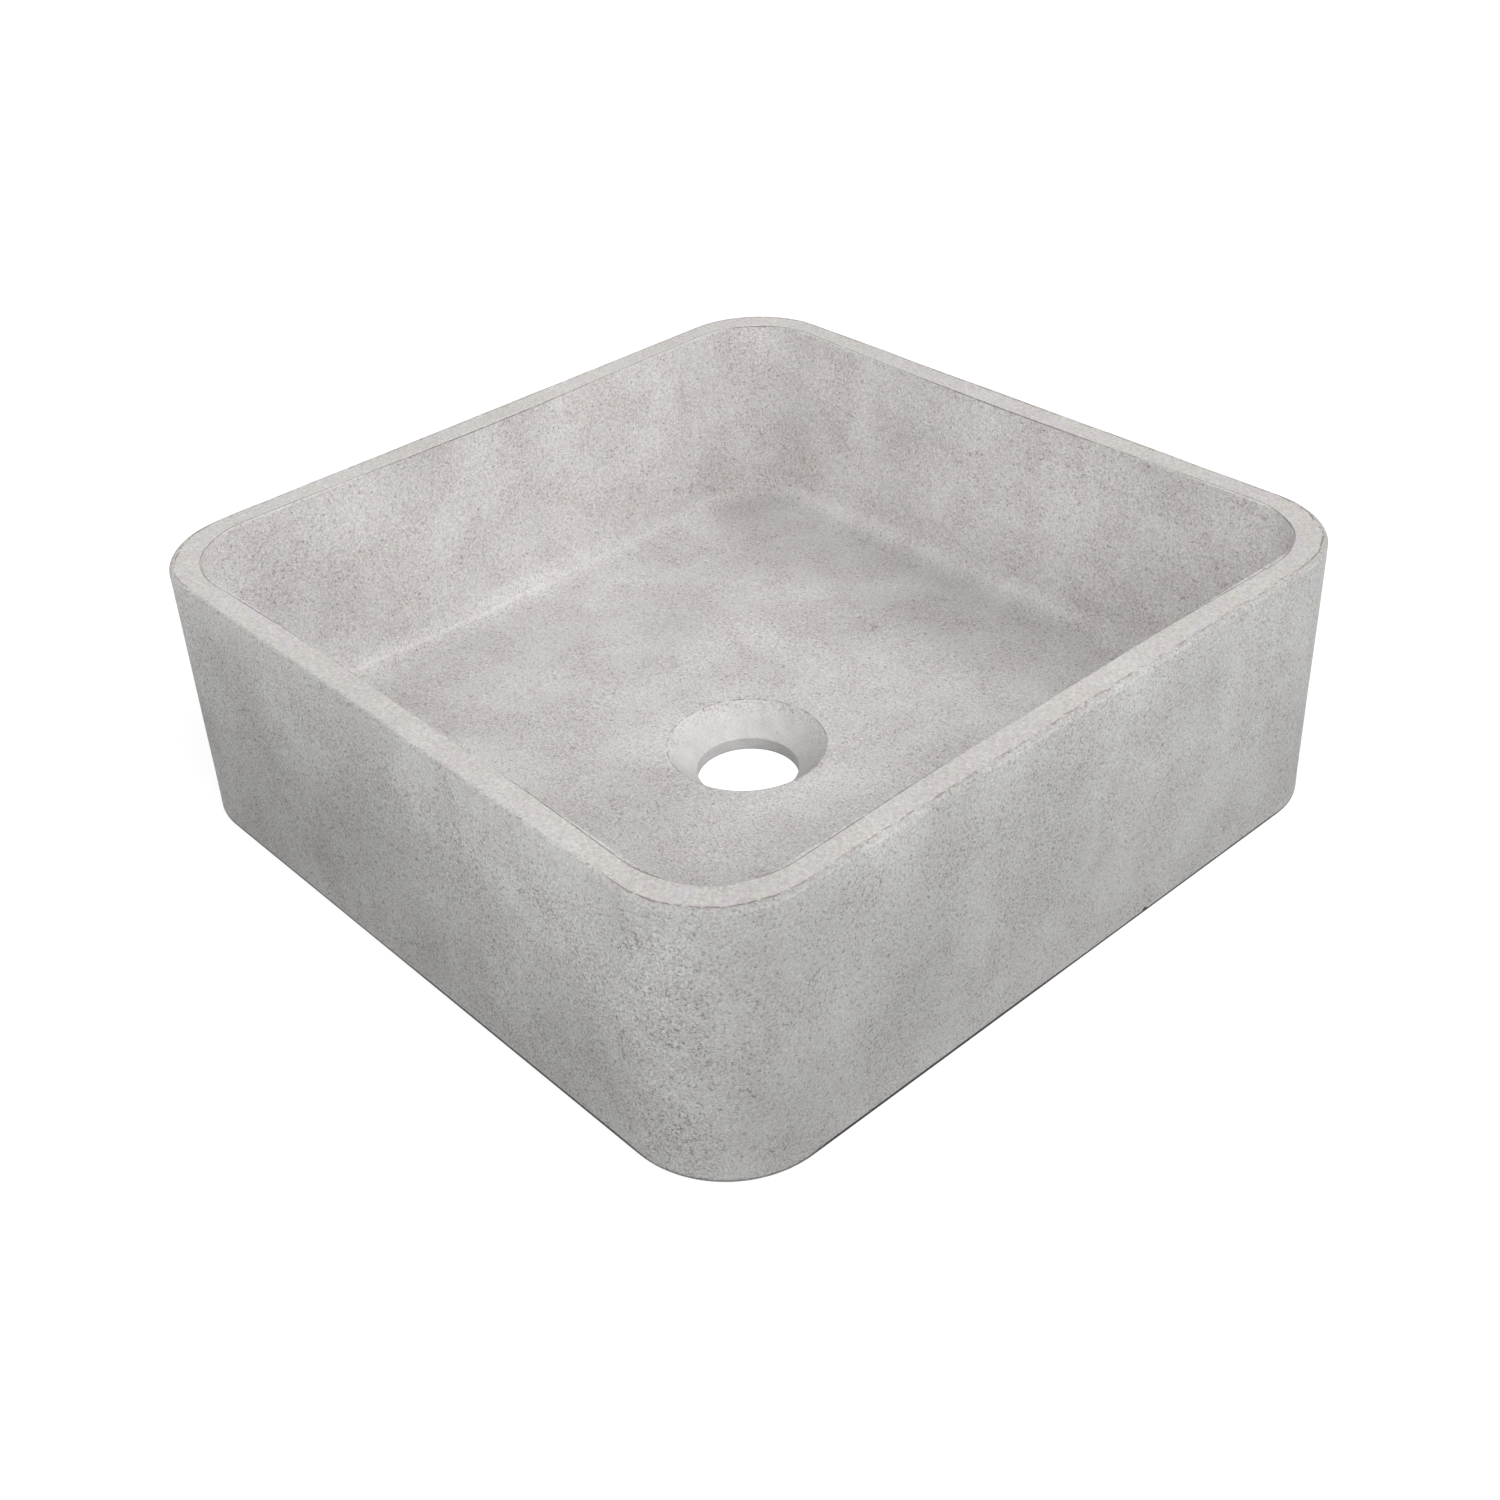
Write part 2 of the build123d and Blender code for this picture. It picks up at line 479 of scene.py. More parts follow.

# Painted shade, as a share of a darker colour: most towards the foot of the outside, less on the bowl's floor
# beside its left and far walls, and a little in the fillet, where shade gathers in the crease. The round at
# the rim's outer edge is darkened as well, which tones down the light that it catches. `down` is 0 at the
# rim's outer edge and would be 1 at the foot, 118 mm below, but stops short of it.
down = np.clip(-inward / (118 * MM), 0, 0.85)
outside_painted_shade = outside * (0.01 + 0.57 * down - 0.25 * down**2) + front_wall * (0.13 * down - 0.02)
edge_painted_shade = outside * (0.24 + 0.07 * soft_edge) * (1 - ease(-inward, 0.1 * MM, (1.5 + 0.9 * soft_edge) * MM))
beside_left = ease(-x, 60 * MM, 150 * MM)
beside_far = ease(y, 80 * MM, 145 * MM) * (1 - ease(x, 10 * MM, 130 * MM))
on_floor = (1 - outside) * (1 - ease(z, 23 * MM, 32 * MM)) * ease(from_axis, 60 * MM, 90 * MM)
floor_painted_shade = on_floor * np.maximum(0.13 * beside_left, 0.27 * beside_far)
far_left = ease(-x, 120 * MM, 150 * MM) * ease(y, -20 * MM, 50 * MM)
on_fillet = ease(inward, 96 * MM, 103 * MM) * (1 - ease(inward, 113 * MM, 122 * MM))
fillet_painted_shade = (0.06 + 0.07 * far_left) * on_fillet

# Soft patches, set against the photo, several of them from a picture of the difference between the photo and
# the render. Some are stains; the others are painted shade and painted light, which darken or lift the
# shading in places such as the far inner corner and the near floor. The middle and the radius in mm, and how
# dark, with a minus for paler
stain_and_shade_spots = np.array([
    (-50, -180, 75, 55, 0.13),
    (-105, -180, 38, 32, 0.08),
    (-137, -180, 55, 40, 0.05),
    (117, -180, 76, 26, -0.17),
    (178, -150, 106, 30, 0.24),
    (175, -157, 25, 26, 0.10),
    (150, -178, 27, 26, -0.10),
    (180, -95, 45, 38, 0.06),
    (180, 125, 45, 60, -0.05),
    (180, 20, 50, 30, 0.05),
    (-167, -135, 52, 40, 0.14),
    (-167, -30, 50, 32, 0.08),
    (-167, 50, 75, 60, -0.06),
    (-90, 167, 105, 40, 0.04),
    (60, 167, 80, 100, 0.05),
    (150, 160, 112, 35, -0.05),
    (37, 167, 112, 30, -0.15),
    (57, 167, 60, 24, -0.06),
    (-36, 167, 29, 28, 0.11),
    (-155, 158, 43, 30, -0.12),
    (-110, 0, 20, 50, 0.07),
    (75, 0, 20, 65, -0.11),
    (45, -42, 20, 48, -0.14),
    (-10, 130, 20, 60, -0.05),
    (10, 85, 20, 30, 0.07),
])
distance = np.linalg.norm(skin[..., None, :] - stain_and_shade_spots[:, :3] * MM, axis=-1)
stains_light_and_shade = (np.exp(-((distance / (stain_and_shade_spots[:, 3] * MM)) ** 2)) * stain_and_shade_spots[:, 4]).sum(-1) * above_foot
# The sum: painted shade and painted light, with the real stains, in one measure
store("damp", outside_painted_shade + edge_painted_shade + floor_painted_shade + fillet_painted_shade + stains_light_and_shade)

# The corners' share of an outline: 0 on a side, 1 where the outline bends
bend = ease(np.minimum(np.abs(x), np.abs(y)), hub - 12 * MM, hub + 10 * MM)
store("corner_share", bend)

# The light line, a painted highlight on the fillet: full along the left wall, fading towards the far left
# corner, faint on the far wall
left_wall = ease(-x, bowl_half - 22 * MM, bowl_half - 14 * MM) * (1 - 0.9 * ease(y, -40 * MM, 50 * MM))
far_corner = ease(y, bowl_half - 45 * MM, bowl_half - 25 * MM) * np.exp(-(((x + 118 * MM) / (16 * MM)) ** 2))
store("light_line", np.clip(0.95 * left_wall + 0.6 * far_corner + 0.10, 0, 1))
print("attributes:", [a.name for a in casting_mesh.attributes if not a.name.startswith(".")])

# %% [markdown]
# ## Tools for materials
#
# A material in Blender is a tree of nodes. Two helpers keep the trees readable. One turns an sRGB hex
# colour, as a picture editor shows it, into the linear numbers that Blender works in. The other adds a node,
# sets it up and links it in one call. `per` turns the real size of a pattern's cells into the scale that
# a texture wants, which is cells per metre.
#
# Some nodes have several inputs of the same name, so those go by number. A Math node has its values at 0, 1
# and 2. Map Range has its value at 0, the range that it comes from at 1 and 2, and the range that it goes
# to at 3 and 4. Mix has its share at 0, its two numbers at 2 and 3, and its two colours at 6 and 7.

# %% Colour, size and node helpers
def from_hex(code):
    """An sRGB hex colour as linear red, green, blue and 1.

    Each channel c, from 0 to 1, becomes ((c + 0.055) / 1.055) to the power 2.4, or c / 12.92 below 0.04."""
    c = np.array([int(code[i:i + 2], 16) for i in (1, 3, 5)]) / 255
    return (*np.where(c <= 0.04045, c / 12.92, ((c + 0.055) / 1.055) ** 2.4), 1)


def per(size_mm):
    """The scale of a texture whose cells are size_mm across."""
    return 1 / (size_mm * MM)


def add(tree, kind, inputs=None, out=0, **settings):
    """Adds a node and returns one of its outputs.

    Settings are the node's own options. Inputs are by name or number: a plain value, or an output to link."""
    node = tree.nodes.new("ShaderNode" + kind)
    for name, value in settings.items():
        setattr(node, name, value)
    for name, value in (inputs or {}).items():
        if isinstance(value, bpy.types.NodeSocket):
            tree.links.new(value, node.inputs[name])
        else:
            node.inputs[name].default_value = value
    return node.outputs[out]


def new_material(name):
    """A material with an empty tree."""
    material = bpy.data.materials.new(name)
    material.use_nodes = True
    material.node_tree.nodes.clear()
    return material, material.node_tree


print("mid grey #808080 is", [round(float(v), 3) for v in from_hex("#808080")[:3]], "in linear numbers")

# %% [markdown]
# ## Cast concrete: layers of tone
#
# The real material is a fine cement and sand mix with glass fibres, cast against a smooth mould, rubbed down
# and sealed with a matt sealer. It has soft clouds where the mix flowed, smaller patches, upright streaks
# where water ran down the mould, mottling and a sandy grain. Each is a noise texture on the object's own
# coordinates, so it goes right through the casting and has no seams. Those in the table are added up to one
# number, which is 0 on average. For the streaks the coordinates are squeezed in height, which stretches the
# pattern. The clouds are a noise in four dimensions: the fourth number, W, picks one slice of it, as a seed
# does, and slice 21 has its clouds nearest to where the real basin's are.

# %% Layers of tone
concrete, tree = new_material("cast_concrete_matt_sealed")
place = add(tree, "TexCoord", out="Object")
tall = add(tree, "Mapping", {"Vector": place, "Scale": (1, 1, 0.22)})
names = "inward from_axis crisp_edge countersunk outside front_wall damp corner_share light_line".split()
measure = {name: add(tree, "Attribute", out="Fac", attribute_name=name) for name in names}

# For each layer: its coordinates, the size of its cells in mm, its detail and roughness, and its weight
layers = {
    "patches": (place, 24, 1.0, 0.5, 0.08),
    "streaks": (tall, 9, 1.0, 0.5, 0.08),
    "mottling": (place, 7, 1.0, 0.5, 0.09),
    "grain": (place, 2.4, 1.0, 0.6, 0.14),
}
cloud_size, cloud_slice = 55, 21
clouds = add(tree, "TexNoise", {"Vector": place, "W": cloud_slice, "Scale": per(cloud_size), "Detail": 0.6},
             noise_dimensions="4D")
noise = {}
coarse = -sum(layer[-1] for layer in layers.values()) / 2
for name, (where, size, detail, rough, weight) in layers.items():
    noise[name] = add(tree, "TexNoise",
                      {"Vector": where, "Scale": per(size), "Detail": detail, "Roughness": rough})
    coarse = add(tree, "Math", {0: noise[name], 1: weight, 2: coarse}, operation="MULTIPLY_ADD")
print(f"clouds {cloud_size} mm,", ", ".join(f"{name} {layer[1]} mm" for name, layer in layers.items()))

# %% [markdown]
# ## Sand, hairs and pores
#
# Close up the skin is full of small dark marks: grains of sand, fibres that lie in the surface and show as
# hairs a millimetre or two long, and pores. They crowd together in the darker patches. A hair is a thin line
# that wanders. A noise texture holds such lines already: they are where it passes through its middle value,
# 0.5. A second noise breaks them into short pieces. The pores come from a Voronoi texture, which has one
# point in each cell: a spot is put on it if the cell's random number is above a limit.

# %% Sand, hairs and pores
crowded = add(tree, "MapRange", {0: noise["patches"], 1: 0.58, 2: 0.38}, interpolation_type="SMOOTHSTEP")
# The real sand is 0.1 to 0.5 mm. It is drawn at 0.9 mm, about as fine as a picture of the whole basin shows.
sand_size = 0.9
sand = add(tree, "TexNoise", {"Vector": place, "Scale": per(sand_size), "Detail": 1.0, "Roughness": 0.7})

lines = add(tree, "TexNoise", {"Vector": place, "Scale": per(2.2), "Detail": 1.0, "Distortion": 0.4})
lines = add(tree, "Math", {0: lines, 1: 0.5}, operation="SUBTRACT")
lines = add(tree, "Math", {0: lines}, operation="ABSOLUTE")
lines = add(tree, "MapRange", {0: lines, 2: 0.035, 3: 1.0, 4: 0.0}, interpolation_type="SMOOTHSTEP")
pieces = add(tree, "TexNoise", {"Vector": place, "Scale": per(1.7), "Detail": 0.0})
pieces = add(tree, "Math", {0: crowded, 1: 0.04, 2: pieces}, operation="MULTIPLY_ADD")
pieces = add(tree, "MapRange", {0: pieces, 1: 0.49, 2: 0.57}, interpolation_type="SMOOTHSTEP")
hairs = add(tree, "Math", {0: lines, 1: pieces}, operation="MULTIPLY")

cell = add(tree, "TexVoronoi", {"Vector": place, "Scale": per(1.5)}, out="Distance")
lot = add(tree, "SeparateColor", {0: cell.node.outputs["Color"]})
limit = add(tree, "Math", {0: crowded, 1: -0.15, 2: 0.90}, operation="MULTIPLY_ADD")
kept = add(tree, "Math", {0: lot, 1: limit}, operation="GREATER_THAN")
spot = add(tree, "MapRange", {0: cell, 1: 0.20, 2: 0.42, 3: 1.0, 4: 0.0}, interpolation_type="SMOOTHSTEP")
pores = add(tree, "Math", {0: spot, 1: kept}, operation="MULTIPLY")

fine = add(tree, "Math", {0: sand, 1: 1.2, 2: -0.6}, operation="MULTIPLY_ADD")
marks = add(tree, "Math", {0: hairs, 1: -0.52}, operation="MULTIPLY")
marks = add(tree, "Math", {0: pores, 1: -0.28, 2: marks}, operation="MULTIPLY_ADD")
fine_strength = add(tree, "Math", {0: crowded, 1: 0.2, 2: 0.95}, operation="MULTIPLY_ADD")
print(f"sand {sand_size} mm, hairs along a 2.2 mm noise, pores in 1.5 mm cells")

# %% [markdown]
# ## From tone to colour
#
# The tone picks a colour between a dark and a light paste. Contrast is higher on the outside, which wasn't
# rubbed down as much, and highest on the front wall. The outer paste is cooler and a little darker. The
# crowded patches are also slightly warm. Last comes a tint that drifts between faint pink and faint green, as
# it does where cement cures unevenly: multiplying by a colour just under white shifts the hue and hardly
# touches the tone. After it the painted shade and the stains darken the paste. The mixes by tone and by that
# measure aren't clamped: a tone a little below 0 gives the darkest marks, and a value below 0 makes its place
# paler, as a pale stain or painted light.

# %% Paste
coarse_gain = add(tree, "Math", {0: measure["outside"], 1: 0.38, 2: 1.0}, operation="MULTIPLY_ADD")
coarse_gain = add(tree, "Math", {0: measure["front_wall"], 1: 0.85, 2: coarse_gain}, operation="MULTIPLY_ADD")
fine_gain = add(tree, "Math", {0: measure["outside"], 1: 0.02, 2: fine_strength}, operation="MULTIPLY_ADD")
marks_gain = add(tree, "Math", {0: measure["front_wall"], 1: 0.95, 2: fine_gain}, operation="MULTIPLY_ADD")
fine_gain = add(tree, "Math", {0: measure["front_wall"], 1: 0.55, 2: fine_gain}, operation="MULTIPLY_ADD")

middle_tone, cloud_weight = 0.535, 0.62
tone = add(tree, "Math", {0: clouds, 1: cloud_weight, 2: middle_tone - cloud_weight / 2},
           operation="MULTIPLY_ADD")
tone = add(tree, "Math", {0: coarse, 1: coarse_gain, 2: tone}, operation="MULTIPLY_ADD")
tone = add(tree, "Math", {0: fine, 1: fine_gain, 2: tone}, operation="MULTIPLY_ADD")
tone = add(tree, "Math", {0: marks, 1: marks_gain, 2: tone}, operation="MULTIPLY_ADD")
tone = add(tree, "Clamp", {0: tone, 1: -0.15, 2: 1.0})

inner_dark, inner_light = "#9e9a99", "#edebea"
inner = add(tree, "Mix", {0: tone, 6: from_hex(inner_dark), 7: from_hex(inner_light)}, out=2,
            data_type="RGBA", clamp_factor=False)
outer_paste = add(tree, "Mix", {0: tone, 6: from_hex("#9d9d9c"), 7: from_hex("#ebeae9")}, out=2,
                  data_type="RGBA", clamp_factor=False)
paste = add(tree, "Mix", {0: measure["outside"], 6: inner, 7: outer_paste}, out=2, data_type="RGBA")

warmth = add(tree, "Math", {0: measure["outside"], 1: 0.03, 2: 0.10}, operation="MULTIPLY_ADD")
warmth = add(tree, "Math", {0: crowded, 1: warmth}, operation="MULTIPLY")
paste = add(tree, "Mix", {0: warmth, 6: paste, 7: from_hex("#b3a49d")}, out=2, data_type="RGBA")
drift = add(tree, "TexNoise", {"Vector": place, "Scale": per(7), "Detail": 0.5})
drift = add(tree, "MapRange", {0: drift, 1: 0.35, 2: 0.65}, interpolation_type="SMOOTHSTEP")
tint = add(tree, "Mix", {0: drift, 6: (1, 0.982, 0.988, 1), 7: (0.984, 1, 0.982, 1)}, out=2, data_type="RGBA")
tinted = add(tree, "Math", {0: measure["outside"], 1: 0.55, 2: 0.45}, operation="MULTIPLY_ADD")
paste = add(tree, "Mix", {0: tinted, 6: paste, 7: tint}, out=2, data_type="RGBA", blend_type="MULTIPLY")
# Painted shade and stains: this measure darkens the paste, and below 0 lifts it, as painted light or a pale
# stain
paste = add(tree, "Mix", {0: measure["damp"], 6: paste, 7: from_hex("#4a4846")}, out=2, data_type="RGBA",
            clamp_factor=False)
print(f"tone runs from {inner_dark} to {inner_light} in the bowl")

# %% [markdown]
# ## The rubbed rim and the countersink
#
# The rim was rubbed with a fine pad after the casting had cured. It is paler and cleaner than the walls,
# with tan grains. On the inside the pale strip ends right at the edge. On the outside it ends at the edge
# too, with a slight wander, except along the front, where it fades into the wall. The measure over the rim
# gives both. The cone of the countersink was turned in the mould by a smooth plug, so it is pale and even.

# %% Rim and countersink
wobble = add(tree, "TexNoise", {"Vector": place, "Scale": per(9), "Detail": 3.0, "Roughness": 0.6})
wandering = add(tree, "Math", {0: wobble, 1: 2.4 * MM, 2: -1.2 * MM}, operation="MULTIPLY_ADD")
wandering = add(tree, "Math", {0: wandering, 1: measure["inward"]})

steps = {"inner": (measure["inward"], inner_edge + 0.4 * MM, inner_edge - 0.1 * MM),
         "crisp": (wandering, 1.7 * MM, 2.2 * MM),
         "soft": (measure["inward"], 0.8 * MM, 3.0 * MM)}
step = {name: add(tree, "MapRange", {0: along, 1: start, 2: end}, interpolation_type="SMOOTHSTEP")
        for name, (along, start, end) in steps.items()}
outer_step = add(tree, "Mix", {0: measure["crisp_edge"], 2: step["soft"], 3: step["crisp"]})
on_rim = add(tree, "Math", {0: step["inner"], 1: outer_step}, operation="MULTIPLY")

rim_grain = add(tree, "TexNoise", {"Vector": place, "Scale": per(1.7), "Detail": 3.0, "Roughness": 0.7})
rim_grain = add(tree, "MapRange", {0: rim_grain, 1: 0.30, 2: 0.66}, interpolation_type="SMOOTHSTEP")
rim_paste = add(tree, "Mix", {0: rim_grain, 6: from_hex("#b1afae"), 7: from_hex("#d8d6d5")}, out=2,
                data_type="RGBA")
creamy = add(tree, "MapRange", {0: wobble, 1: 0.38, 2: 0.62}, interpolation_type="SMOOTHSTEP")
cream = add(tree, "Mix", {0: creamy, 6: (1, 0.988, 0.925, 1), 7: (1, 0.955, 0.990, 1)}, out=2,
            data_type="RGBA")
rim_paste = add(tree, "Mix", {0: 1.0, 6: rim_paste, 7: cream}, out=2, data_type="RGBA", blend_type="MULTIPLY")
rubbed = add(tree, "Math", {0: on_rim, 1: 0.61}, operation="MULTIPLY")
paste = add(tree, "Mix", {0: rubbed, 6: paste, 7: rim_paste}, out=2, data_type="RGBA")

even_paste = add(tree, "Mix", {0: noise["mottling"], 6: from_hex("#c3c3c2"), 7: from_hex("#e0e0e0")}, out=2,
                 data_type="RGBA")
smooth_cone = add(tree, "Math", {0: measure["countersunk"], 1: 0.70}, operation="MULTIPLY")
paste = add(tree, "Mix", {0: smooth_cone, 6: paste, 7: even_paste}, out=2, data_type="RGBA")
print(f"rim rubbed pale over {inner_edge / MM:.1f} mm")

# %% [markdown]
# ## Lines
#
# Where rubbing stopped, dust and sealer collected: a broken, brownish line along the crisp outer edge, and a
# darker one round the corners. The rest are painted light and shade: a dark hairline of painted shade over
# the round of the inner edge, another on the lip of the countersink, a near-black painted contact shadow
# along the foot of the walls, taller on both sides of the near corner, and a painted highlight low on the
# bowl's wall, along the top of the fillet. All of them are bands on a measure: 1 within half the line's width
# of its place, falling to 0 over the width of its fade. So one table holds them, and one loop paints them. A
# small nick in the foot of the right wall fits in too: its measure is the distance from one point.

# %% Paint the lines
gaps = add(tree, "TexNoise", {"Vector": place, "Scale": per(5), "Detail": 2.0, "Roughness": 0.7})
nearly_whole = add(tree, "MapRange", {0: gaps, 1: 0.30, 2: 0.55, 3: 0.45}, interpolation_type="SMOOTHSTEP")
broken = add(tree, "MapRange", {0: gaps, 1: 0.38, 2: 0.56}, interpolation_type="SMOOTHSTEP")
broken_edge = add(tree, "Math", {0: broken, 1: measure["crisp_edge"]}, operation="MULTIPLY")
broken_corner = add(tree, "Math", {0: broken, 1: measure["corner_share"]}, operation="MULTIPLY")
# The painted contact shadow at the foot, at half strength round the corners
straight = add(tree, "Math", {0: measure["corner_share"], 1: -0.5, 2: 1.0}, operation="MULTIPLY_ADD")
# The painted highlight on the fillet swells and shrinks along its length
swelling = add(tree, "TexNoise", {"Vector": place, "Scale": per(30), "Detail": 1.0})
swelling = add(tree, "MapRange", {0: swelling, 1: 0.36, 2: 0.56, 3: 0.5}, interpolation_type="SMOOTHSTEP")
painted_fillet_highlight = add(tree, "Math", {0: swelling, 1: measure["light_line"]}, operation="MULTIPLY")

# Where the painted contact shadow at the foot is taller: on the sides near the near corner
near_corner = (half_width, -half_width, 0)
from_corner = add(tree, "VectorMath", {0: place, 1: near_corner}, out="Value", operation="DISTANCE")
nearby = add(tree, "MapRange", {0: from_corner, 1: 215 * MM, 2: 150 * MM}, interpolation_type="SMOOTHSTEP")
on_side = add(tree, "Math", {0: measure["corner_share"], 1: -1.0, 2: 1.0}, operation="MULTIPLY_ADD")
near_foot_shadow_share = add(tree, "Math", {0: nearby, 1: on_side}, operation="MULTIPLY")

inward_measure, lip = measure["inward"], countersink_radius + 0.1 * MM
nick = (half_width, 47 * MM, underside + 1.2 * MM)
from_nick = add(tree, "VectorMath", {0: place, 1: nick}, out="Value", operation="DISTANCE")

# For each line: its measure, its place on it, half its width and its fade in mm, what breaks it up, its
# strength and its colour
table = {
    # Painted shade: a dark hairline over the round of the rim's inner edge
    "inner edge": (inward_measure, inner_edge - 0.15 * MM, 0.16, 0.25, nearly_whole, 0.66, "#4c443f"),
    "outer edge": (wandering, 1.95 * MM, 0.15, 0.45, broken_edge, 0.54, "#86695b"),
    "corners": (wandering, 1.95 * MM, 0.15, 0.45, broken_corner, 0.30, "#554f4a"),
    # Painted shade on the lip of the countersink
    "lip": (measure["from_axis"], lip, 0.10, 0.35, broken, 0.55, "#5e5854"),
    # A painted highlight along the top of the fillet
    "painted fillet highlight": (inward_measure, crest_line - 1.2 * MM, 0.30, 1.60, painted_fillet_highlight, 0.23, "#eae6e4"),
    # A painted contact shadow along the foot of the walls, and a taller one beside the near corner
    "foot": (inward_measure, foot_edge + 0.55 * MM, 0.58, 0.25, straight, 0.97, "#1e1d1c"),
    "near foot": (inward_measure, foot_edge + 1.25 * MM, 0.30, 0.25, near_foot_shadow_share, 0.9, "#1e1d1c"),
    "nick": (from_nick, 0.0, 1.1, 0.7, 1.0, 0.95, "#24211f"),
}
for along, middle, half_band, fade, mask, strength, colour in table.values():
    away = add(tree, "Math", {0: along, 1: middle}, operation="SUBTRACT")
    away = add(tree, "Math", {0: away}, operation="ABSOLUTE")
    band = add(tree, "MapRange", {0: away, 1: half_band * MM, 2: (half_band + fade) * MM, 3: 1.0, 4: 0.0},
               interpolation_type="SMOOTHSTEP")
    seen = add(tree, "Math", {0: band, 1: mask}, operation="MULTIPLY")
    seen = add(tree, "Math", {0: seen, 1: strength}, operation="MULTIPLY")
    paste = add(tree, "Mix", {0: seen, 6: paste, 7: from_hex(colour)}, out=2, data_type="RGBA")
print("lines:", ", ".join(table))

# %% [markdown]
# ## Roughness, relief and the shader
#
# A matt sealer leaves concrete rough to light, and the rubbed rim a little less so. The grain and the pores
# are also felt: a Bump node tilts the surface's normal as if it rose and fell. The heights are in the
# table, in millimetres: a noise only uses the middle third of its range, so 0.16 mm of grain is a real rise
# of about 0.05 mm. Concrete is an insulator with an index of refraction near 1.5, and it isn't metallic.

# %% Finish the concrete
roughness = add(tree, "Math", {0: noise["grain"], 1: 0.16, 2: 0.66}, operation="MULTIPLY_ADD")
roughness = add(tree, "Math", {0: on_rim, 1: -0.08, 2: roughness}, operation="MULTIPLY_ADD")

skin_grain = add(tree, "TexNoise", {"Vector": place, "Scale": per(1.3), "Detail": 1.0, "Roughness": 0.6})
heights = {"mottling": (noise["mottling"], 0.06), "grains": (skin_grain, 0.16), "hairs": (hairs, -0.04),
           "pores": (pores, -0.05)}
rise = 0.0
for pattern, height_mm in heights.values():
    rise = add(tree, "Math", {0: pattern, 1: height_mm, 2: rise}, operation="MULTIPLY_ADD")
relief = add(tree, "Bump", {"Height": rise, "Strength": 1.0, "Distance": 1 * MM})

shader = add(tree, "BsdfPrincipled", {"Base Color": paste, "Roughness": roughness, "Normal": relief,
                                      "IOR": 1.5, "Metallic": 0.0})
output = tree.nodes.new("ShaderNodeOutputMaterial")
tree.links.new(shader, output.inputs["Surface"])
casting_mesh.materials.append(concrete)
print(f"{len(tree.nodes)} nodes in the concrete")

# %% [markdown]
# ## Rubber pads
#
# The four pads are moulded in a soft black rubber with a fine matt texture, and stuck into their pockets.
# They stand half a millimetre proud and show only from below. Their CAD shape is right already, so they
# keep it and get a material. Rubber is dark but not black, and a bloom of dust makes it cloudy.

# %% Moulded rubber
rubber, tree = new_material("moulded_rubber_matt")
place = add(tree, "TexCoord", out="Object")
bloom = add(tree, "TexNoise", {"Vector": place, "Scale": per(4), "Detail": 3.0})
texture = add(tree, "TexNoise", {"Vector": place, "Scale": per(0.6), "Detail": 2.0})
dusty = add(tree, "MapRange", {0: bloom, 1: 0.35, 2: 0.70}, interpolation_type="SMOOTHSTEP")
colour = add(tree, "Mix", {0: dusty, 6: from_hex("#1d1d1f"), 7: from_hex("#343436")}, out=2, data_type="RGBA")
roughness = add(tree, "Math", {0: bloom, 1: 0.2, 2: 0.6}, operation="MULTIPLY_ADD")
relief = add(tree, "Bump", {"Height": texture, "Strength": 1.0, "Distance": 0.02 * MM})
shader = add(tree, "BsdfPrincipled", {"Base Color": colour, "Roughness": roughness, "Normal": relief,
                                      "IOR": 1.52})
output = tree.nodes.new("ShaderNodeOutputMaterial")
tree.links.new(shader, output.inputs["Surface"])

pads = [node for name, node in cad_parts.items() if name.startswith("pad_")]
for pad in pads:
    pad.data.materials.clear()
    pad.data.materials.append(rubber)
print(f"{len(pads)} pads in {rubber.name}")

# %% [markdown]
# ## The floor under it
#
# The basin stands on a plain floor. For light that bounces, it is a matt mid grey, so the outer walls aren't
# lit up from below. For the camera it is lifted to white where no shadow falls, with a glow that only
# straight views, mirror reflections and views through glass can see. Under the waste hole it is lifted all
# the way, because the background shows white there.

# %% Floor
floor_mesh = bpy.data.meshes.new("studio_floor")
floor_half = 9.0
floor_corners = [(sx * floor_half, sy * floor_half, 0) for sx, sy in ((-1, -1), (1, -1), (1, 1), (-1, 1))]
floor_mesh.from_pydata(floor_corners, [], [(0, 1, 2, 3)])
floor = bpy.data.objects.new("studio_floor", floor_mesh)
bpy.context.scene.collection.objects.link(floor)
floor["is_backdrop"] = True

white, tree = new_material("studio_floor_matt_white")
place = add(tree, "TexCoord", out="Object")
rays = add(tree, "LightPath", out="Is Camera Ray")
seen = add(tree, "Math", {0: rays, 1: rays.node.outputs["Is Glossy Ray"]}, operation="MAXIMUM")
seen = add(tree, "Math", {0: seen, 1: rays.node.outputs["Is Transmission Ray"]}, operation="MAXIMUM")
from_middle = add(tree, "VectorMath", {0: place}, out="Value", operation="LENGTH")
lift = add(tree, "MapRange", {0: from_middle, 1: 30 * MM, 2: 34 * MM, 3: 1.0, 4: 0.82},
           interpolation_type="SMOOTHSTEP")
strength = add(tree, "Math", {0: seen, 1: lift}, operation="MULTIPLY")
matt = add(tree, "BsdfDiffuse", {"Color": from_hex("#909090")})
glow = add(tree, "Emission", {"Color": (1, 1, 1, 1), "Strength": strength})
both = add(tree, "AddShader", {0: matt, 1: glow})
output = tree.nodes.new("ShaderNodeOutputMaterial")
tree.links.new(both, output.inputs["Surface"])
floor_mesh.materials.append(white)
print("floor", 2 * floor_half, "m across")

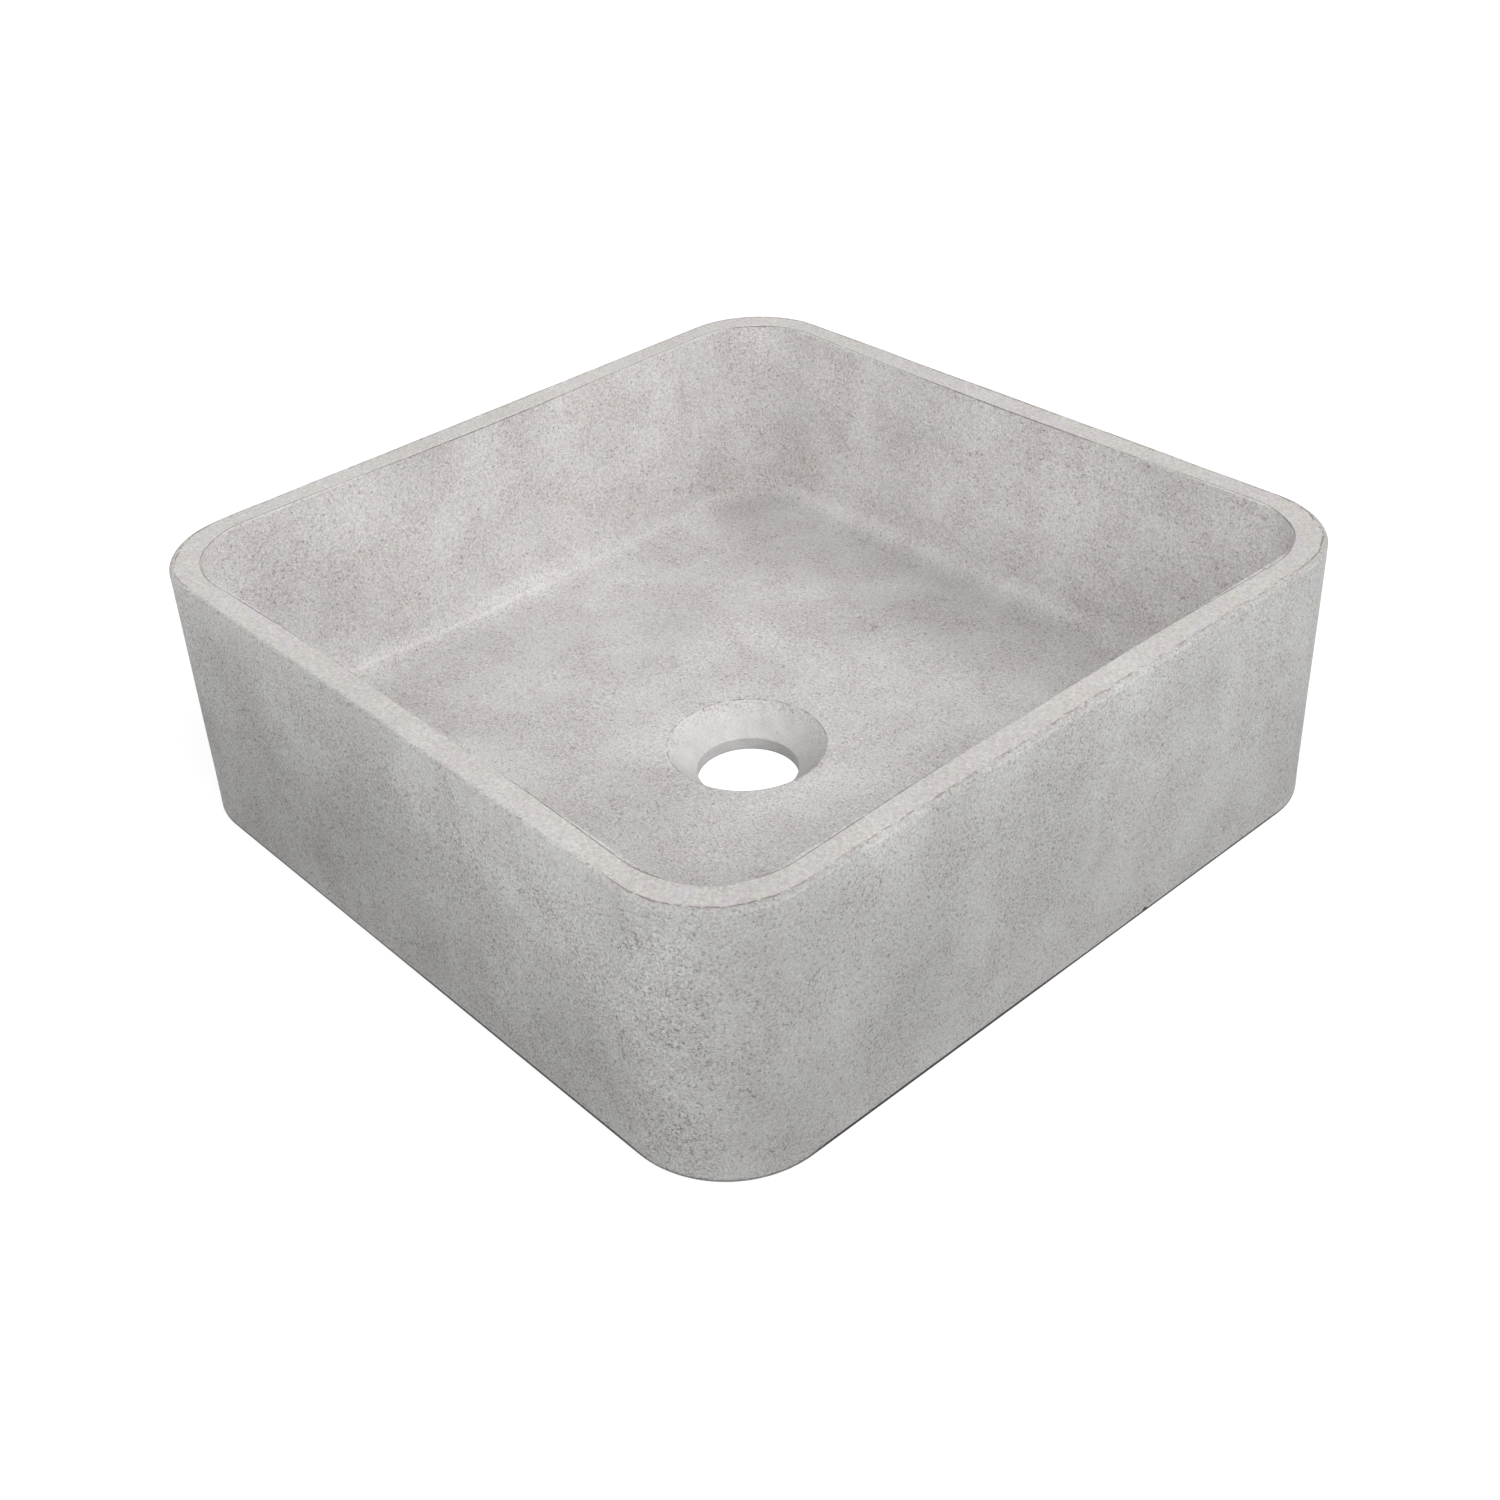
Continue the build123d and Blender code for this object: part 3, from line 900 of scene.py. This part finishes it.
# %% [markdown]
# ## Light
#
# The photograph was lit like a catalogue picture, with soft light and no hard shadow. How bright each face
# is tells where the light came from: the right wall is brighter than the front, and the left wall of the
# bowl, which faces right, is the brightest. So the strongest lamp is high on the right, a second one stands
# low in front, a third low behind on the right, and a little light comes from all round. A sun lamp with a
# wide angle behaves like a large softbox that is far away, and it lights the whole basin evenly.

# %% World and lamps
def soft_lamp(name, towards, strength, spread_degrees):
    """A sun lamp that shines from the direction `towards`, as wide in the sky as spread_degrees."""
    light = bpy.data.lights.new(name, "SUN")
    light.energy = strength
    light.angle = np.radians(spread_degrees)
    lamp = bpy.data.objects.new(name, light)
    bpy.context.scene.collection.objects.link(lamp)
    back = np.array(towards) / np.linalg.norm(towards)
    side = np.cross((0, 0, 1), back)
    side /= np.linalg.norm(side)
    over = np.cross(back, side)
    turned = np.eye(4)
    turned[:3, :3] = np.stack([side, over, back], -1)
    lamp.matrix_world = Matrix(turned.tolist())
    return lamp


world = bpy.data.worlds.new("studio")
bpy.context.scene.world = world
world.use_nodes = True
world.node_tree.nodes.clear()
rays = add(world.node_tree, "LightPath", out="Is Camera Ray")
around_light = 0.28
sky = add(world.node_tree, "MapRange", {0: rays, 3: around_light, 4: 1.0})
backdrop = add(world.node_tree, "Background", {"Color": (1, 1, 1, 1), "Strength": sky})
output = world.node_tree.nodes.new("ShaderNodeOutputWorld")
world.node_tree.links.new(backdrop, output.inputs["Surface"])

lamps = [
    soft_lamp("softbox_right", (0.643, 0, 0.766), 2.21, 50),
    soft_lamp("softbox_front", (0, -0.927, 0.375), 1.55, 50),
    soft_lamp("softbox_behind", (0.656, 0.656, 0.375), 0.73, 50),
]
print("lamps:", [lamp.name for lamp in lamps])

# %% [markdown]
# ## Camera
#
# The camera was worked out from the photograph: the basin's edges fall where they do for one viewpoint
# only. It looks down at 33 degrees on the corner between the front and the right side, rolled by nearly
# four degrees. The picture is a crop whose middle isn't where the lens pointed, so the lens is
# shifted by three hundredths of the width.

# %% Camera
picture = 1500
focal_px, middle_x, middle_y = 1966.15, 700.67, 696.30
azimuth, elevation, roll = np.radians([50.2083, 33.2841, -3.7372])
distance, slide_right, slide_up = 4.8391 * half_width, -0.1179 * half_width, 0.2015 * half_width

flat_back = np.array([np.sin(azimuth), -np.cos(azimuth), 0])
back = np.cos(elevation) * flat_back + np.sin(elevation) * np.array([0, 0, 1])
level = np.array([np.cos(azimuth), np.sin(azimuth), 0])
upright = np.cross(back, level)
side = np.cos(roll) * level + np.sin(roll) * upright
over = -np.sin(roll) * level + np.cos(roll) * upright
stand = np.eye(4)
stand[:3, :3] = np.stack([side, over, back], -1)
stand[:3, 3] = distance * back + slide_right * side + slide_up * over + (0, 0, underside)

camera_data = bpy.data.cameras.new("camera")
camera_data.sensor_width = 36
camera_data.lens = focal_px * 36 / picture
camera_data.shift_x = (picture / 2 - middle_x) / picture
camera_data.shift_y = (middle_y - picture / 2) / picture
camera_data.clip_start, camera_data.clip_end = 0.01, 100
camera = bpy.data.objects.new("camera", camera_data)
bpy.context.scene.collection.objects.link(camera)
camera.matrix_world = Matrix(stand.tolist())
bpy.context.scene.camera = camera
bpy.context.scene.view_settings.view_transform = "Standard"
print(f"lens {camera_data.lens:.1f} mm, {distance:.3f} m from the basin")

# %% [markdown]
# ## The sizes at the end
#
# The dressed basin has to be as large as the CAD model. Both boxes are printed.

# %% Sizes and finish
dressed_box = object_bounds()
for name, box in (("CAD", cad_box), ("dressed", dressed_box)):
    print(name, [[round(v / MM, 2) for v in corner] for corner in box])
